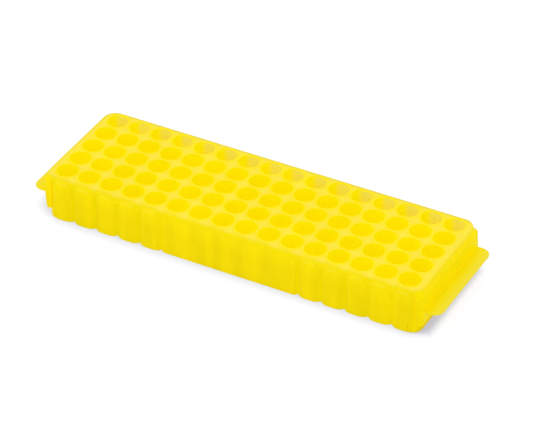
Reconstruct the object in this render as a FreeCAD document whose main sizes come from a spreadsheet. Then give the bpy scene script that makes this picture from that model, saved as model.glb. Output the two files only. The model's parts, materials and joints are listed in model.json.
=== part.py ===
"""Parametric model of an 80-well microtube rack moulded in polypropylene.

The rack is a low rectangular block, 16 wells long and 5 wells wide.  A thin deck
plate carries the well mouths, and a straight skirt runs under the deck's edge.
Below the skirt each long side has a flat panel in the middle and a fluted wall
towards either end, and the end walls slope out to a grip flange at mid-height.
Under the deck hang 80 round cups, tied to each other by short webs.

Frame: millimetres, +Z up, +X along the 16 wells, origin on the ground plane below
the centre of the deck.  The front long side faces -Y.
"""
import FreeCAD, Part
import math
import os
import re
import Sketcher
from FreeCAD import Placement, Rotation, Vector

os.makedirs("parts", exist_ok=True)
doc = FreeCAD.newDocument("TubeRack")

DRIVING_DIMENSIONS = (
    ("column_count", 16, "wells along X"),
    ("row_count", 5, "wells along Y"),
    ("column_pitch", 13.5, "well spacing along X"),
    ("row_pitch", 13.25, "well spacing along Y"),
    ("total_height", 27.6, "ground to deck top"),
    ("well_radius", 5.6, "bore of each cup"),
    ("cup_wall", 0.8, "wall of each cup"),
    ("cup_lift", 0.4, "ground to the underside of each cup"),
    ("cup_floor", 1.2, "floor of each cup"),
    ("cup_bottom_round", 2.0, "outer rounding of each cup's bottom"),
    ("mouth_chamfer", 0.4, "lead-in at each well's mouth"),
    ("deck_half_length", 110.8, "centre to the deck's end edge"),
    ("deck_half_width", 34.2, "centre to the deck's long edge"),
    ("deck_corner", 7.0, "plan radius of the deck's corners"),
    ("deck_thickness", 1.2, "deck plate"),
    ("deck_edge_round", 0.5, "rounding of the deck's top edge"),
    ("skirt_drop", 4.4, "deck top to the skirt's lower edge"),
    ("skirt_thickness", 1.1, "skirt wall"),
    ("panel_thickness", 1.1, "flat panel on each long side"),
    ("panel_columns", 6, "wells behind each flat panel"),
    ("panel_end_round", 2.4, "rounding at each flat panel's ends"),
    ("leg_inner_y", 30.75, "centre plane to the inner end of the walls' legs"),
    ("leg_thickness", 1.0, "legs at each flat panel's ends"),
    ("lobe_count", 5, "lobes in each fluted wall"),
    ("lobe_reach", 34.6, "centre plane to the face of the lobes"),
    ("lobe_flat", 4.4, "flat width of each lobe"),
    ("lobe_round", 5.65, "plan radius of each lobe's shoulders, tangent to its flat"),
    ("lobe_wall", 1.3, "wall of the lobes"),
    ("groove_reach", 32.3, "centre plane to the bottom of the grooves"),
    ("roof_thickness", 1.0, "plate that closes the grooves under the skirt"),
    ("end_top_x", 112.0, "centre to the end wall's face under the skirt"),
    ("end_mid_x", 112.5, "centre to the end wall's face at the flange"),
    ("end_low_x", 111.9, "centre to the end wall's face above the base rim"),
    ("end_corner", 3.0, "plan radius of the end walls' corners"),
    ("end_wall", 2.1, "wall of the end walls, wide enough to stand on the base rims"),
    ("end_groove_round", 0.8, "rounding where an end wall meets the last groove"),
    ("base_height", 5.2, "height of the base rims"),
    ("base_end_x", 110.2, "centre to the base rim's end face"),
    ("base_corner", 6.0, "plan radius of the base rims' corners"),
    ("base_wall", 1.3, "wall of the base rims"),
    ("flange_reach", 121.0, "centre to the grip flange's outer edge"),
    ("flange_half_width", 31.8, "centre to the grip flange's side edge"),
    ("flange_thickness", 1.2, "grip flange"),
    ("flange_corner", 5.5, "plan radius of the grip flange's corners"),
    ("flange_edge_round", 0.35, "rounding of the grip flange's free edges"),
    ("flange_underside", 13.2, "ground to the grip flange's underside"),
    ("web_thickness", 1.0, "webs that tie neighbouring cups"),
    ("web_bottom", 2.4, "ground to the webs' lower edge"),
)

sheet = doc.addObject("Spreadsheet::Sheet", "Dimensions")
for sheet_row, (alias, amount, meaning) in enumerate(DRIVING_DIMENSIONS, start=1):
    sheet.set(f"A{sheet_row}", alias)
    sheet.set(f"B{sheet_row}", str(amount))
    sheet.set(f"C{sheet_row}", meaning)
    sheet.setAlias(f"B{sheet_row}", alias)
doc.recompute()

WORD = re.compile(r"[a-z][a-z_]+\b(?!\()")
HALF_TURN = Rotation(Vector(0, 0, 1), 180)
ROW_LETTERS = "abcde"
sub_parts = []


def bound(formula):
    """The formula with each dimension's name pointed at its cell in the sheet."""
    return WORD.sub(lambda match: "Dimensions." + match.group(), formula)


def amount_of(formula):
    """The number a formula works out to with the sheet's present values."""
    numbers = WORD.sub(lambda match: repr(float(sheet.get(match.group()))), formula)
    return FreeCAD.Units.Quantity(numbers).Value


# ---------------------------------------------------------------- sketch helpers

def new_body(label):
    """Start a sub-part; its label names its file."""
    body = doc.addObject("PartDesign::Body", label)
    body.Label = label
    body.AllowCompound = True
    sub_parts.append(body)
    return body


def origin_item(body, role):
    return next(item for item in body.Origin.OriginFeatures if item.Role == role)


def new_sketch(body, name, role="XY_Plane", height=None):
    """Sketch on one of the body's own origin planes, raised by a formula."""
    sketch = body.newObject("Sketcher::SketchObject", name)
    sketch.AttachmentSupport = (origin_item(body, role), [""])
    sketch.MapMode = "FlatFace"
    if height is not None:
        sketch.setExpression("AttachmentOffset.Base.z", bound(height))
    return sketch


def constrain(sketch, formula, *definition):
    """Add a dimension constraint whose value follows a formula."""
    index = sketch.addConstraint(Sketcher.Constraint(*definition, amount_of(formula)))
    sketch.setExpression(f"Constraints[{index}]", bound(formula))


def pin_point(sketch, geometry, end, corner):
    """Hold one end of an edge at the corner's X and Y, measured from the origin."""
    for kind, axis, formula in (("DistanceX", -2, corner[0]), ("DistanceY", -1, corner[1])):
        if formula == "0":
            sketch.addConstraint(Sketcher.Constraint("PointOnObject", geometry, end, axis))
        else:
            constrain(sketch, formula, kind, -1, 1, geometry, end)


def arc_between(start, finish, radius, turn):
    """Minor arc from start to finish; turn is 1 anticlockwise and -1 clockwise."""
    chord = finish - start
    middle = (start + finish) * 0.5
    rise = math.sqrt(max(radius ** 2 - (chord.Length / 2) ** 2, 0.0))
    normal = Vector(-chord.y, chord.x, 0).normalize()
    centre = middle + normal * (rise * turn)
    first, last = (start, finish) if turn > 0 else (finish, start)
    angles = [math.atan2(point.y - centre.y, point.x - centre.x) for point in (first, last)]
    if angles[1] < angles[0]:
        angles[1] += 2 * math.pi
    return Part.ArcOfCircle(Part.Circle(centre, Vector(0, 0, 1), radius), *angles)


def trace(sketch, corners):
    """Closed outline through the corners, with every size bound to a formula.

    A corner is (x, y), or (x, y, radius, turn) when the edge that leaves it is an
    arc.  Both ends of each edge meet their neighbours, and each corner is pinned
    once.
    """
    points = [Vector(amount_of(corner[0]), amount_of(corner[1]), 0) for corner in corners]
    edges = []
    for index, corner in enumerate(corners):
        start = points[index]
        finish = points[(index + 1) % len(points)]
        if len(corner) == 2:
            edge = sketch.addGeometry(Part.LineSegment(start, finish), False)
            edges.append((edge, 1, 2))
        else:
            radius, turn = corner[2:]
            edge = sketch.addGeometry(arc_between(start, finish, amount_of(radius), turn), False)
            edges.append((edge, 1, 2) if turn > 0 else (edge, 2, 1))
            constrain(sketch, radius, "Radius", edge)
    for index, (edge, head, _) in enumerate(edges):
        earlier, _, tail = edges[index - 1]
        sketch.addConstraint(Sketcher.Constraint("Coincident", earlier, tail, edge, head))
        pin_point(sketch, edge, head, corners[index])


def rounded_rectangle(half_length, half_width, radius):
    """Corners of a rectangle about the origin with rounded corners."""
    flat_x = f"({half_length} - {radius})"
    flat_y = f"({half_width} - {radius})"
    return [
        (f"-{flat_x}", f"-({half_width})"),
        (flat_x, f"-({half_width})", radius, 1),
        (half_length, f"-{flat_y}"),
        (half_length, flat_y, radius, 1),
        (flat_x, half_width),
        (f"-{flat_x}", half_width, radius, 1),
        (f"-({half_length})", flat_y),
        (f"-({half_length})", f"-{flat_y}", radius, 1),
    ]


# --------------------------------------------------------------- feature helpers

def pad(body, name, sketch, length):
    feature = body.newObject("PartDesign::Pad", name)
    feature.Profile = sketch
    feature.setExpression("Length", bound(length))
    body.Tip = feature
    return feature


def pocket_through(body, name, sketch):
    """Cut the profile through everything above its sketch."""
    feature = body.newObject("PartDesign::Pocket", name)
    feature.Profile = sketch
    feature.Type = "ThroughAll"
    feature.Reversed = True
    body.Tip = feature
    return feature


def set_pattern(feature, axis, pitch, count):
    """Point a linear pattern along one of the body's axes; length spans all copies."""
    feature.Direction = (axis, [""])
    feature.setExpression("Length", bound(f"({count} - 1) * {pitch}"))
    feature.setExpression("Occurrences", bound(count))


def repeat_row(body, original, pitch, count):
    """Repeat a feature along X."""
    pattern = body.newObject("PartDesign::LinearPattern", "RowPattern")
    pattern.Originals = [original]
    set_pattern(pattern, origin_item(body, "X_Axis"), pitch, count)
    body.Tip = pattern
    return pattern


def repeat_grid(body, original, column_count, row_count):
    """Repeat a feature over the well grid, along X and then along Y."""
    grid = body.newObject("PartDesign::MultiTransform", "GridPattern")
    grid.Originals = [original]
    along_x = body.newObject("PartDesign::LinearPattern", "AlongX")
    set_pattern(along_x, origin_item(body, "X_Axis"), "column_pitch", column_count)
    along_y = body.newObject("PartDesign::LinearPattern", "AlongY")
    set_pattern(along_y, origin_item(body, "Y_Axis"), "row_pitch", row_count)
    grid.Transformations = [along_x, along_y]
    body.Tip = grid
    return grid


def round_edges(body, name, base, radius, chosen):
    """Fillet the edges of base that the chosen test accepts."""
    doc.recompute()
    names = [
        f"Edge{number}"
        for number, edge in enumerate(base.Shape.Edges, start=1)
        if chosen(edge.BoundBox)
    ]
    feature = body.newObject("PartDesign::Fillet", name)
    feature.Base = (base, names)
    feature.setExpression("Radius", bound(radius))
    body.Tip = feature
    return feature


FIRST_COLUMN = "-(column_count - 1) / 2 * column_pitch"
FIRST_ROW = "-(row_count - 1) / 2 * row_pitch"
GRID_END = "(column_count / 2 * column_pitch)"
CUP_RADIUS = "(well_radius + cup_wall)"


# ------------------------------------------------------------------ deck and skirt

def make_deck_plate():
    """Thin plate with rounded corners, cut where the 80 cups come up through it."""
    body = new_body("deck_plate")
    outline = new_sketch(body, "PlateOutline", height="total_height - deck_thickness")
    trace(outline, rounded_rectangle("deck_half_length", "deck_half_width", "deck_corner"))
    plate = pad(body, "Plate", outline, "deck_thickness")
    top = amount_of("total_height")
    round_edges(body, "EasedTopEdge", plate, "deck_edge_round",
                lambda box: box.ZMin > top - 0.01)
    opening = new_sketch(body, "CupOpening", height="total_height - deck_thickness")
    centre = Vector(amount_of(FIRST_COLUMN), amount_of(FIRST_ROW), 0)
    ring = opening.addGeometry(Part.Circle(centre, Vector(0, 0, 1), amount_of(CUP_RADIUS)), False)
    constrain(opening, CUP_RADIUS, "Radius", ring)
    constrain(opening, FIRST_COLUMN, "DistanceX", -1, 1, ring, 3)
    constrain(opening, FIRST_ROW, "DistanceY", -1, 1, ring, 3)
    cut = pocket_through(body, "CupCut", opening)
    repeat_grid(body, cut, "column_count", "row_count")


def make_deck_skirt():
    """Straight wall that runs all round under the deck plate's edge."""
    body = new_body("deck_skirt")
    ring = new_sketch(body, "SkirtRing", height="total_height - skirt_drop")
    trace(ring, rounded_rectangle("deck_half_length", "deck_half_width", "deck_corner"))
    trace(ring, rounded_rectangle("(deck_half_length - skirt_thickness)",
                                  "(deck_half_width - skirt_thickness)",
                                  "(deck_corner - skirt_thickness)"))
    pad(body, "Skirt", ring, "skirt_drop - deck_thickness")


# ------------------------------------------------------------------------- wells

def make_cup_row(letter, row_index):
    """Sixteen round cups of one row; each is a separate solid open at the deck."""
    body = new_body(f"cup_row_{letter}")
    body.setExpression("Placement.Base.x", bound(FIRST_COLUMN))
    body.setExpression("Placement.Base.y", bound(f"{FIRST_ROW} + {row_index} * row_pitch"))
    inner_round = "(cup_bottom_round - cup_wall)"
    floor_top = "(cup_lift + cup_floor)"
    section = new_sketch(body, "CupSection", "XZ_Plane")
    trace(section, [
        ("0", "cup_lift"),
        (f"{CUP_RADIUS} - cup_bottom_round", "cup_lift", "cup_bottom_round", 1),
        (CUP_RADIUS, "cup_lift + cup_bottom_round"),
        (CUP_RADIUS, "total_height"),
        ("well_radius + mouth_chamfer", "total_height"),
        ("well_radius", "total_height - mouth_chamfer"),
        ("well_radius", f"{floor_top} + {inner_round}", inner_round, -1),
        (f"well_radius - {inner_round}", floor_top),
        ("0", floor_top),
    ])
    cup = body.newObject("PartDesign::Revolution", "Cup")
    cup.Profile = section
    cup.ReferenceAxis = (section, ["V_Axis"])
    cup.Angle = 360
    repeat_row(body, cup, "column_pitch", "column_count")


def web_outline(gap_pitch, along_x):
    """Section of one web: flat sides, and hollow ends that fit the cups' walls."""
    half = "web_thickness / 2"
    reach = f"{gap_pitch} / 2 - sqrt(({CUP_RADIUS}) ^ 2 - ({half}) ^ 2)"
    if along_x:
        return [
            (f"-({reach})", f"-({half})"),
            (reach, f"-({half})", CUP_RADIUS, -1),
            (reach, half),
            (f"-({reach})", half, CUP_RADIUS, -1),
        ]
    return [
        (half, f"-({reach})"),
        (half, reach, CUP_RADIUS, -1),
        (f"-({half})", reach),
        (f"-({half})", f"-({reach})", CUP_RADIUS, -1),
    ]


def make_webs(label, along_x):
    """Short upright webs in the gaps between neighbouring cups."""
    body = new_body(label)
    pitch = "column_pitch" if along_x else "row_pitch"
    section = new_sketch(body, "WebSection", height="web_bottom")
    trace(section, web_outline(pitch, along_x))
    web = pad(body, "Web", section, "total_height - deck_thickness - web_bottom")
    if along_x:
        repeat_grid(body, web, "column_count - 1", "row_count")
        body.setExpression("Placement.Base.x", bound(f"{FIRST_COLUMN} + column_pitch / 2"))
        body.setExpression("Placement.Base.y", bound(FIRST_ROW))
    else:
        repeat_grid(body, web, "column_count", "row_count - 1")
        body.setExpression("Placement.Base.x", bound(FIRST_COLUMN))
        body.setExpression("Placement.Base.y", bound(f"{FIRST_ROW} + row_pitch / 2"))


# -------------------------------------------------------------------- long sides

WALL_TOP = "(total_height - skirt_drop)"
PANEL_HALF = "(panel_columns * column_pitch / 2)"


def make_flat_panel(label, side_turn):
    """Flat middle panel; its ends curl inwards under small plates at the top."""
    body = new_body(label)
    body.Placement = Placement(Vector(), side_turn)
    inner = "deck_half_width - panel_thickness"
    turn_in = "panel_end_round"
    outline = new_sketch(body, "PanelOutline")
    trace(outline, [
        (f"-({PANEL_HALF} - {turn_in})", "-(deck_half_width)"),
        (f"{PANEL_HALF} - {turn_in}", "-(deck_half_width)", turn_in, 1),
        (PANEL_HALF, f"-(deck_half_width - {turn_in})"),
        (PANEL_HALF, "-(leg_inner_y)"),
        (f"{PANEL_HALF} - leg_thickness", "-(leg_inner_y)"),
        (f"{PANEL_HALF} - leg_thickness", f"-({inner})"),
        (f"-({PANEL_HALF} - leg_thickness)", f"-({inner})"),
        (f"-({PANEL_HALF} - leg_thickness)", "-(leg_inner_y)"),
        (f"-{PANEL_HALF}", "-(leg_inner_y)"),
        (f"-{PANEL_HALF}", f"-(deck_half_width - {turn_in})", turn_in, 1),
    ])
    pad(body, "Panel", outline, WALL_TOP)
    for hand, sign in (("Left", "-"), ("Right", "")):
        corner = new_sketch(body, f"{hand}Corner", height=f"{WALL_TOP} - roof_thickness")
        near_x = f"{sign}({PANEL_HALF} - {turn_in})"
        far_x = f"{sign}{PANEL_HALF}"
        trace(corner, [
            (near_x, "-(deck_half_width)"),
            (far_x, "-(deck_half_width)"),
            (far_x, f"-(deck_half_width - {turn_in})"),
            (near_x, f"-(deck_half_width - {turn_in})"),
        ])
        pad(body, f"{hand}CornerRoof", corner, "roof_thickness")


def lobe_inner_side():
    """Inner side of one lobe's wall, from its right-hand end to its left."""
    inner_radius = "(lobe_round - lobe_wall)"
    centre_x = "lobe_flat / 2"
    drop = "(leg_inner_y - lobe_reach + lobe_round)"
    inner_end_x = f"{centre_x} + sqrt({inner_radius} ^ 2 - {drop} ^ 2)"
    return [
        ("column_pitch / 2", "-(leg_inner_y)"),
        (inner_end_x, "-(leg_inner_y)", inner_radius, -1),
        (centre_x, "-(lobe_reach - lobe_wall)"),
        (f"-({centre_x})", "-(lobe_reach - lobe_wall)", inner_radius, -1),
        (f"-({inner_end_x})", "-(leg_inner_y)"),
        ("-(column_pitch / 2)", "-(leg_inner_y)"),
    ]


def make_fluted_wall(side_name, side_turn, outer_end):
    """Five lobes in a row, with a plate at the top that closes the grooves.

    outer_end is 1 when the rack's corner is beyond the last lobe and -1 when it is
    before the first.  That lobe gives way to the base rim near the ground.
    """
    turned = side_turn.Angle > 1
    hand = "right" if (outer_end > 0) != turned else "left"
    body = new_body(f"{side_name}_{hand}_fluted_wall")
    body.Placement = Placement(Vector(), side_turn)
    first_lobe = f"({PANEL_HALF} + column_pitch / 2)" if outer_end > 0 else f"({FIRST_COLUMN})"
    body.setExpression("Placement.Base.x", bound(f"-{first_lobe}" if turned else first_lobe))
    half_pitch = "column_pitch / 2"
    lobe_outline = new_sketch(body, "LobeOutline")
    trace(lobe_outline, [
        (f"-({half_pitch})", "-(groove_reach)", "lobe_round", 1),
        ("-(lobe_flat / 2)", "-(lobe_reach)"),
        ("lobe_flat / 2", "-(lobe_reach)", "lobe_round", 1),
        (half_pitch, "-(groove_reach)"),
    ] + lobe_inner_side())
    lobe = pad(body, "Lobe", lobe_outline, WALL_TOP)
    repeat_row(body, lobe, "column_pitch", "lobe_count")
    roof_outline = new_sketch(body, "RoofOutline", height=f"{WALL_TOP} - roof_thickness")
    trace(roof_outline, [
        (f"-({half_pitch})", "-(deck_half_width)"),
        (half_pitch, "-(deck_half_width)"),
    ] + lobe_inner_side())
    roof = pad(body, "Roof", roof_outline, "roof_thickness")
    repeat_row(body, roof, "column_pitch", "lobe_count")
    corner_cut = f"({GRID_END} - base_end_x + base_corner)"
    far_x = "(lobe_count - 1 / 2) * column_pitch" if outer_end > 0 else f"-({half_pitch}) + {corner_cut}"
    near_x = f"{far_x} - {corner_cut}"
    relief_outline = new_sketch(body, "CornerRelief")
    trace(relief_outline, [
        (near_x, "-(lobe_reach + lobe_wall)"),
        (far_x, "-(lobe_reach + lobe_wall)"),
        (far_x, "-(leg_inner_y - lobe_wall)"),
        (near_x, "-(leg_inner_y - lobe_wall)"),
    ])
    relief = body.newObject("PartDesign::Pocket", "BaseRelief")
    relief.Profile = relief_outline
    relief.Reversed = True
    relief.setExpression("Length", bound("base_height"))
    body.Tip = relief


# -------------------------------------------------------------------------- ends

def end_section(face_x):
    """Plan of an end wall at one height: a wide U with a leg at each long side."""
    side = "deck_half_width"
    shoulder = f"({side} - end_groove_round)"
    turned = f"({face_x} - end_corner)"
    return [
        (GRID_END, "-(leg_inner_y)"),
        (GRID_END, f"-{shoulder}", "end_groove_round", 1),
        (f"{GRID_END} + end_groove_round", f"-({side})"),
        (turned, f"-({side})", "end_corner", 1),
        (face_x, f"-({side} - end_corner)"),
        (face_x, f"{side} - end_corner", "end_corner", 1),
        (turned, side),
        (f"{GRID_END} + end_groove_round", side, "end_groove_round", 1),
        (GRID_END, shoulder),
        (GRID_END, "leg_inner_y"),
        (f"{face_x} - end_wall", "leg_inner_y"),
        (f"{face_x} - end_wall", "-(leg_inner_y)"),
    ]


def make_end_wall(label, rotation):
    """End wall that slopes out from the skirt to the flange and in again below it."""
    body = new_body(label)
    body.Placement = Placement(Vector(), rotation)
    stations = (
        ("Base", "base_height", "end_low_x"),
        ("FlangeUnderside", "flange_underside", "end_mid_x"),
        ("FlangeTop", "flange_underside + flange_thickness", "end_mid_x"),
        ("Skirt", WALL_TOP, "end_top_x"),
    )
    sections = []
    for name, height, face_x in stations:
        section = new_sketch(body, f"Section{name}", height=height)
        trace(section, end_section(face_x))
        sections.append(section)
    wall = body.newObject("PartDesign::AdditiveLoft", "Wall")
    wall.Profile = sections[0]
    wall.Sections = sections[1:]
    wall.Ruled = True
    body.Tip = wall


def make_base_rim(label, rotation):
    """Low U-shaped rim with wide corners that the rack's end stands on."""
    body = new_body(label)
    body.Placement = Placement(Vector(), rotation)
    start_x = "(base_end_x - base_corner)"
    turn_y = "(deck_half_width - base_corner)"
    inner_y = "(deck_half_width - base_wall)"
    inner_corner = "(base_corner - base_wall)"
    outline = new_sketch(body, "RimOutline")
    trace(outline, [
        (start_x, f"-{inner_y}"),
        (start_x, "-(deck_half_width)", "base_corner", 1),
        ("base_end_x", f"-{turn_y}"),
        ("base_end_x", turn_y, "base_corner", 1),
        (start_x, "deck_half_width"),
        (start_x, inner_y, inner_corner, -1),
        ("base_end_x - base_wall", turn_y),
        ("base_end_x - base_wall", f"-{turn_y}", inner_corner, -1),
    ])
    pad(body, "Rim", outline, "base_height")


def make_grip_flange(label, rotation):
    """Flat lip along the end wall at mid-height, to hold or hang the rack by."""
    body = new_body(label)
    body.Placement = Placement(Vector(), rotation)
    corner_x = "flange_reach - flange_corner"
    corner_y = "(flange_half_width - flange_corner)"
    outline = new_sketch(body, "FlangeOutline", height="flange_underside")
    trace(outline, [
        ("end_mid_x", "-(flange_half_width)"),
        (corner_x, "-(flange_half_width)", "flange_corner", 1),
        ("flange_reach", f"-{corner_y}"),
        ("flange_reach", corner_y, "flange_corner", 1),
        (corner_x, "flange_half_width"),
        ("end_mid_x", "flange_half_width"),
    ])
    plate = pad(body, "Flange", outline, "flange_thickness")
    root = amount_of("end_mid_x")
    round_edges(body, "EasedEdges", plate, "flange_edge_round",
                lambda box: box.ZLength < 0.01 and box.XMax > root + 0.1)


# ---------------------------------------------------------------------- assembly

make_deck_plate()
make_deck_skirt()
for row_index, row_letter in enumerate(ROW_LETTERS):
    make_cup_row(row_letter, row_index)
make_webs("lengthwise_webs", along_x=True)
make_webs("crosswise_webs", along_x=False)
for side_name, side_turn in (("front", Rotation()), ("back", HALF_TURN)):
    make_flat_panel(f"{side_name}_flat_panel", side_turn)
    for outer_end in (-1, 1):
        make_fluted_wall(side_name, side_turn, outer_end)
for end_name, end_turn in (("right", Rotation()), ("left", HALF_TURN)):
    make_end_wall(f"{end_name}_end_wall", end_turn)
    make_base_rim(f"{end_name}_base_rim", end_turn)
    make_grip_flange(f"{end_name}_grip_flange", end_turn)
doc.recompute()

for item in doc.Objects:
    if "Invalid" in item.State or "Error" in item.State:
        raise RuntimeError(f"{item.Label} did not compute: {item.State}")
for body in sub_parts:
    if body.Shape.isNull() or not body.Shape.isValid():
        raise RuntimeError(f"{body.Label} has no valid shape")
for body in sub_parts:
    body.Shape.exportStep(f"parts/{body.Label}.step")
    size = body.Shape.BoundBox
    print(f"{body.Label}: {len(body.Shape.Solids)} solids, {body.Shape.Volume:.0f} mm3,",
          f"x {size.XMin:.2f}..{size.XMax:.2f}, y {size.YMin:.2f}..{size.YMax:.2f},",
          f"z {size.ZMin:.2f}..{size.ZMax:.2f}")
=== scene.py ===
import json
import math

import bmesh
import bpy
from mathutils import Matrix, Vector
from mathutils.geometry import delaunay_2d_cdt

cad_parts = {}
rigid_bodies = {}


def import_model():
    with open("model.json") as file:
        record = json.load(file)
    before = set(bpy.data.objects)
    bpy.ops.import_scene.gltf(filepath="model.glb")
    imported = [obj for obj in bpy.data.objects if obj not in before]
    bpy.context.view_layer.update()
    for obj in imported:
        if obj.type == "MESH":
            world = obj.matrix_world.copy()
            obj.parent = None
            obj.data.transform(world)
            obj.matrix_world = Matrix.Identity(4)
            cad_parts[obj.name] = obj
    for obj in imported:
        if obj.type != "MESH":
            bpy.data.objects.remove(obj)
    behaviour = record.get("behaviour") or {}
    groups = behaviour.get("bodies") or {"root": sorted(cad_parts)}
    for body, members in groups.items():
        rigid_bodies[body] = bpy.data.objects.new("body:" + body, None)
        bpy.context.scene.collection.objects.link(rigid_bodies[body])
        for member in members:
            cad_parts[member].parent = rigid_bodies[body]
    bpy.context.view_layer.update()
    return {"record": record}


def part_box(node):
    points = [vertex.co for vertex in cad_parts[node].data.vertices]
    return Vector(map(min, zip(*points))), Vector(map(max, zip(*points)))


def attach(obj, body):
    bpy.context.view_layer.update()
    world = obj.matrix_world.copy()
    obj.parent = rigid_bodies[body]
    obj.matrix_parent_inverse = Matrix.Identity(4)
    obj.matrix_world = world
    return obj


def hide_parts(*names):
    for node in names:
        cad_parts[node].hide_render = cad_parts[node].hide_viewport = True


# Looks of an empty microtube rack: 16 by 5 wells, moulded in translucent yellow plastic.
# Shapes are worked out in millimetres from the CAD frame and stored in metres.

for leftover in list(bpy.data.objects):
    bpy.data.objects.remove(leftover)

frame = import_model()

METRE = 1000.0
WELD = 2e-6
CLOSE = 1e-6
TINY = 1e-7
SMOOTH_ANGLE = math.radians(38)
WELL_SEGMENTS = 64
CORNER_STEPS = 14
SMALL_ARC_STEPS = 6
ROUND_STEPS = 3
DECK_EDGE_STEPS = 5


def box_mm(node):
    """Lowest and highest corner of a CAD node, in millimetres."""
    low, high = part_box(node)
    return low * METRE, high * METRE


deck_low, deck_high = box_mm("deck_plate")
skirt_low, skirt_high = box_mm("deck_skirt")
wall_low, wall_high = box_mm("front_right_fluted_wall")
_, panel_high = box_mm("front_flat_panel")
end_low, end_high = box_mm("right_end_wall")
rim_low, rim_high = box_mm("right_base_rim")
flange_low, flange_high = box_mm("right_grip_flange")
cup_low, cup_high = box_mm("cup_row_a")
web_low, _ = box_mm("lengthwise_webs")

bores = [mount for mount in frame["record"]["mounts"] if mount["kind"] == "bore"]
WELL_RADIUS = bores[0]["dims"]["r_mm"]
wells = {}
for bore in bores:
    letter = bore["name"][len("well_")]
    wells.setdefault(letter, []).append(Vector(bore["pos_m"]) * METRE)
for row in wells.values():
    row.sort(key=lambda axis: axis.x)
ROW_LETTERS = sorted(wells)
COLUMN_PITCH = wells["a"][1].x - wells["a"][0].x
ROW_PITCH = wells["b"][0].y - wells["a"][0].y

TOP = deck_high.z
HALF_LENGTH = deck_high.x
HALF_WIDTH = deck_high.y
LEDGE = skirt_low.z
CUP_RADIUS = (cup_high.y - cup_low.y) / 2
PANEL_HALF = panel_high.x
GRID_END = wall_high.x
LEG_INNER = -panel_high.y

DECK_CORNER = 7.0
DECK_EDGE_ROUND = 0.5
RIM_RISE = 0.12
RIM_FOOT = 0.12
RIM_UPRIGHT = 0.04
RIM_HOLLOW_OUT = 0.4
RIM_HOLLOW_UP = 0.3
MOUTH_ROUND = 0.4
CUP_BOTTOM_ROUND = 2.0
CUP_FLOOR = 1.2
CUP_DRAFT = 0.12
UPPER_DRAFT_SHARE = 0.3
FLOOR_RING_SHARE = 0.4
CUP_INNER_ROUND = 1.2
SKIRT_THICKNESS = 1.1
PANEL_THICKNESS = 1.1
PANEL_END_ROUND = 2.4
PANEL_END_STEPS = 8
LOBE_FLAT = 4.4
LOBE_ROUND = 5.65
LOBE_WALL = 1.3
LOBE_STEPS = 9
LOBE_FLAT_SPACING = 1.2
GROOVE_ROUND = 0.3
GROOVE_TURNS = (0.66, 0.33, 0.0, -0.33, -0.66)
ROOF_THICKNESS = 1.0
LEDGE_ROUND = 0.4
LEDGE_ROUND_SHARE = 0.75
FOOT_ROUND = 0.3
END_WALL = 2.1
END_CORNER = 3.0
END_GROOVE_ROUND = 0.8
END_TOP_STEP = 0.5
END_LOW_STEP = 0.6
END_TOP_ROUND = 0.02
END_TOP = end_high.x - END_TOP_STEP
END_LEVEL_SHARES = (0.2, 0.35, 0.5, 0.65, 0.8)
BASE_CORNER = 6.0
BASE_WALL = 1.3
FLANGE_CORNER = 5.5
FLANGE_ROUND = 0.5
WEB_HALF = 0.5
WEB_END_STEPS = 4
FLARE_POWER = 1.5
FLARE_OVER_LOBES = 0.7
FLARE_STEPS = 5
FLARE_LIMIT = 4.0
FLARE_HALVINGS = 20
SKIRT_SPACING = 1.0


# ------------------------------------------------------------------ plan outlines

def arc(centre, radius, start, end, steps=CORNER_STEPS):
    """Points along an arc; angles are in degrees."""
    points = []
    for step in range(steps + 1):
        angle = math.radians(start + (end - start) * step / steps)
        points.append((centre[0] + radius * math.cos(angle), centre[1] + radius * math.sin(angle)))
    return points


def straight(start, end, spacing):
    """Points after start along a line, up to but not including end."""
    count = max(1, round(math.dist(start, end) / spacing))
    return [
        (start[0] + (end[0] - start[0]) * step / count, start[1] + (end[1] - start[1]) * step / count)
        for step in range(1, count)
    ]


def rounded_rectangle(half_x, half_y, radius, spacing):
    """Anticlockwise outline with rounded corners, starting on the front side."""
    points = []
    corners = ((1, -1, -90), (1, 1, 0), (-1, 1, 90), (-1, -1, 180))
    for side_x, side_y, start in corners:
        turn = arc((side_x * (half_x - radius), side_y * (half_y - radius)), radius, start, start + 90)
        if points:
            points += straight(points[-1], turn[0], spacing)
        points += turn
    points += straight(points[-1], points[0], spacing)
    return points


def right_turns(reach, half_y, radius):
    """Two rounded corners on the right, at x = reach, and the line between them."""
    turn_x, turn_y = reach - radius, half_y - radius
    points = arc((turn_x, -turn_y), radius, 270, 360)
    points += straight(points[-1], (reach, turn_y), COLUMN_PITCH / 2)
    points += arc((turn_x, turn_y), radius, 0, 90)
    return points


def miters(path, closed):
    """Outward direction at each point, long enough to keep an offset wall even."""
    count = len(path)
    edges = []
    for index in range(count if closed else count - 1):
        ax, ay = path[index]
        bx, by = path[(index + 1) % count]
        length = math.hypot(bx - ax, by - ay)
        edges.append(((by - ay) / length, (ax - bx) / length))
    directions = []
    for index in range(count):
        before = edges[index - 1] if closed or index > 0 else edges[0]
        after = edges[index] if closed or index < count - 1 else edges[-1]
        scale = 1 + before[0] * after[0] + before[1] * after[1]
        directions.append(((before[0] + after[0]) / scale, (before[1] + after[1]) / scale))
    return directions


def inset(path, directions, amount):
    """Path moved inwards by an amount."""
    return [(x - nx * amount, y - ny * amount) for (x, y), (nx, ny) in zip(path, directions)]


def quarter(steps=ROUND_STEPS):
    """(inward, along) shares of a rounded edge, from the flat side to the upright side."""
    shares = []
    for step in range(steps + 1):
        angle = math.pi / 2 * step / steps
        shares.append((1 - math.sin(angle), 1 - math.cos(angle)))
    return shares


# --------------------------------------------------------------------- mesh shells

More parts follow.
